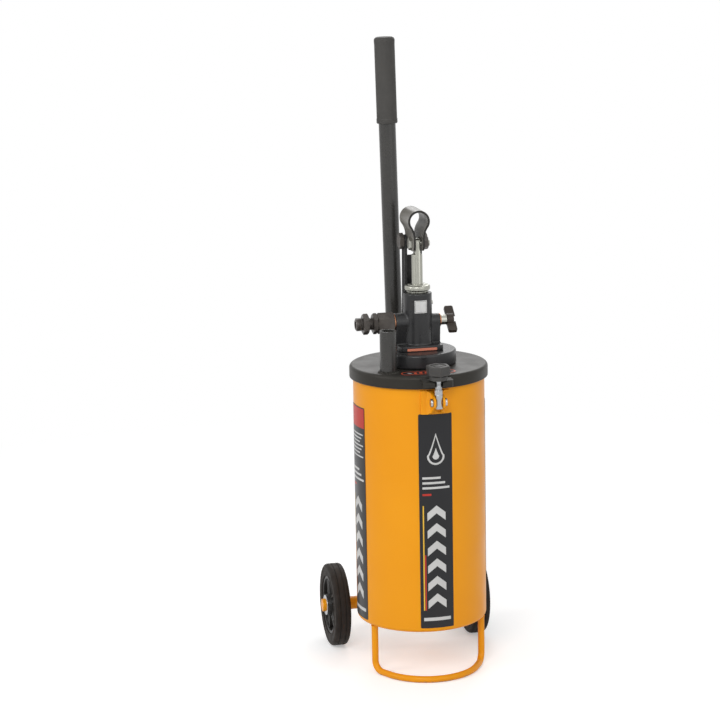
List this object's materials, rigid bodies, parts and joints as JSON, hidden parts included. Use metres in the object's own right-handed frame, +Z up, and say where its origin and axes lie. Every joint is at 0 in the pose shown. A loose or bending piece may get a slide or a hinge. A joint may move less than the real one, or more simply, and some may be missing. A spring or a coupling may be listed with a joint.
{
  "type": "lever grease applicator",
  "caption": "Wheeled grease barrel with a clamped lid, a hand-lever piston pump on a rocking link, a side outlet and a parked lever with grip.",
  "frame": {"origin": "on the ground, at the middle of the footprint's box, on the barrel's plane of symmetry", "axes": "+Z up along the barrel, -Y to the front where the foot and the front clamp are, +X to the bleed valve's side"},
  "size_m": [0.211, 0.25, 0.7534],
  "materials": {
    "orange_paint": "glossy powder coat",
    "black_paint": "semi-gloss powder coat",
    "zinc": "bright zinc plate",
    "black_steel": "blackened",
    "copper": "copper",
    "tyre_rubber": "moulded",
    "hub_plastic": "moulded",
    "knob_plastic": "moulded",
    "grip_rubber": "matte",
    "seal_rubber": "matte",
    "label_film": "printed film",
    "white_film": "printed film",
    "red_film": "printed film"
  },
  "bodies": {
    "container": {"barrel": "orange_paint", "front_foot": "orange_paint", "axle": "orange_paint", "left_axle_bracket": "orange_paint", "right_axle_bracket": "orange_paint", "front_clamp_bracket": "orange_paint", "rear_clamp_bracket": "orange_paint", "lid": "black_paint", "front_lid_lug": "black_paint", "rear_lid_lug": "black_paint", "nozzle_holder": "black_paint", "lever_holder": "black_paint", "lever_tube": "black_paint", "mounting_disc": "black_paint", "pump_body": "black_paint", "outlet_adapter": "black_paint", "outlet_nipple": "black_paint", "lock_nut": "black_paint", "hose_nut": "black_paint", "axle_push_nuts": "zinc", "front_clamp_pin": "zinc", "rear_clamp_pin": "zinc", "pump_screws": "zinc", "set_screw": "zinc", "gland_nut": "zinc", "pump_tube": "zinc", "foot_valve": "zinc", "intake_ball": "zinc", "link_pin": "zinc", "outlet_washer": "copper", "bleed_washer": "copper", "lever_grip": "grip_rubber", "lid_gasket": "seal_rubber", "gland_packing": "seal_rubber", "front_label": "label_film", "left_label": "label_film", "right_label": "label_film", "pump_sticker": "white_film", "base_sticker": "red_film", "lid_sticker": "red_film"},
    "left_wheel": {"left_hub": "hub_plastic", "left_tyre": "tyre_rubber"},
    "right_wheel": {"right_hub": "hub_plastic", "right_tyre": "tyre_rubber"},
    "plunger": {"piston_rod": "zinc", "piston": "zinc", "piston_seal": "seal_rubber"},
    "rocker": {"lever_clamp": "black_paint", "rod_bolt": "zinc", "link_bolt": "black_steel", "cross_nuts": "black_steel"},
    "link": {"link": "black_paint"},
    "bleed_valve": {"bleed_stem": "zinc", "wing_handle": "black_paint"},
    "front_hinged_bolt": {"front_swing_bolt": "zinc"},
    "front_screw_knob": {"front_knob": "knob_plastic"},
    "rear_hinged_bolt": {"rear_swing_bolt": "zinc"},
    "rear_screw_knob": {"rear_knob": "knob_plastic"},
    "follower": {"follower_plate": "zinc", "follower_wiper": "seal_rubber"}
  },
  "joints": [
    {"name": "left_wheel_spin", "type": "hinge", "parent": "container", "child": "left_wheel", "pos_m": [-0.0885, 0.074, 0.051], "axis": [1, 0, 0], "continuous": true},
    {"name": "right_wheel_spin", "type": "hinge", "parent": "container", "child": "right_wheel", "pos_m": [0.0885, 0.074, 0.051], "axis": [1, 0, 0], "continuous": true},
    {"name": "rod_slide", "type": "slide", "parent": "container", "child": "plunger", "axis": [0, 0, 1], "range_m": [-0.012, 0.004]},
    {"name": "clamp_rock", "type": "hinge", "parent": "plunger", "child": "rocker", "pos_m": [0, -0.01625, 0.5146], "axis": [1, 0, 0], "range_deg": [-12, 32]},
    {"name": "link_swing", "type": "hinge", "parent": "container", "child": "link", "pos_m": [0, 0.01175, 0.4225], "axis": [1, 0, 0], "range_deg": [-1, 2]},
    {"name": "bleed_turn", "type": "hinge", "parent": "container", "child": "bleed_valve", "pos_m": [0.04, -0.01625, 0.4215], "axis": [1, 0, 0], "range_deg": [0, 360]},
    {"name": "front_bolt_swing", "type": "hinge", "parent": "container", "child": "front_hinged_bolt", "pos_m": [0, -0.1105, 0.3431], "axis": [1, 0, 0], "range_deg": [0, 100]},
    {"name": "front_knob_turn", "type": "hinge", "parent": "front_hinged_bolt", "child": "front_screw_knob", "pos_m": [0, -0.1105, 0.3715], "axis": [0, 0, 1], "range_deg": [0, 360]},
    {"name": "rear_bolt_swing", "type": "hinge", "parent": "container", "child": "rear_hinged_bolt", "pos_m": [0, 0.078, 0.3431], "axis": [-1, 0, 0], "range_deg": [0, 100]},
    {"name": "rear_knob_turn", "type": "hinge", "parent": "rear_hinged_bolt", "child": "rear_screw_knob", "pos_m": [0, 0.078, 0.3715], "axis": [0, 0, 1], "range_deg": [0, 360]},
    {"name": "follower_slide", "type": "slide", "parent": "container", "child": "follower", "axis": [0, 0, 1], "range_m": [-0.105, 0.125]}
  ],
  "couplings": [
    {"joint": "clamp_rock", "follows": "rod_slide", "rad_per_m": -42.8},
    {"joint": "link_swing", "follows": "rod_slide", "rad_per_m": -1.95}
  ]
}
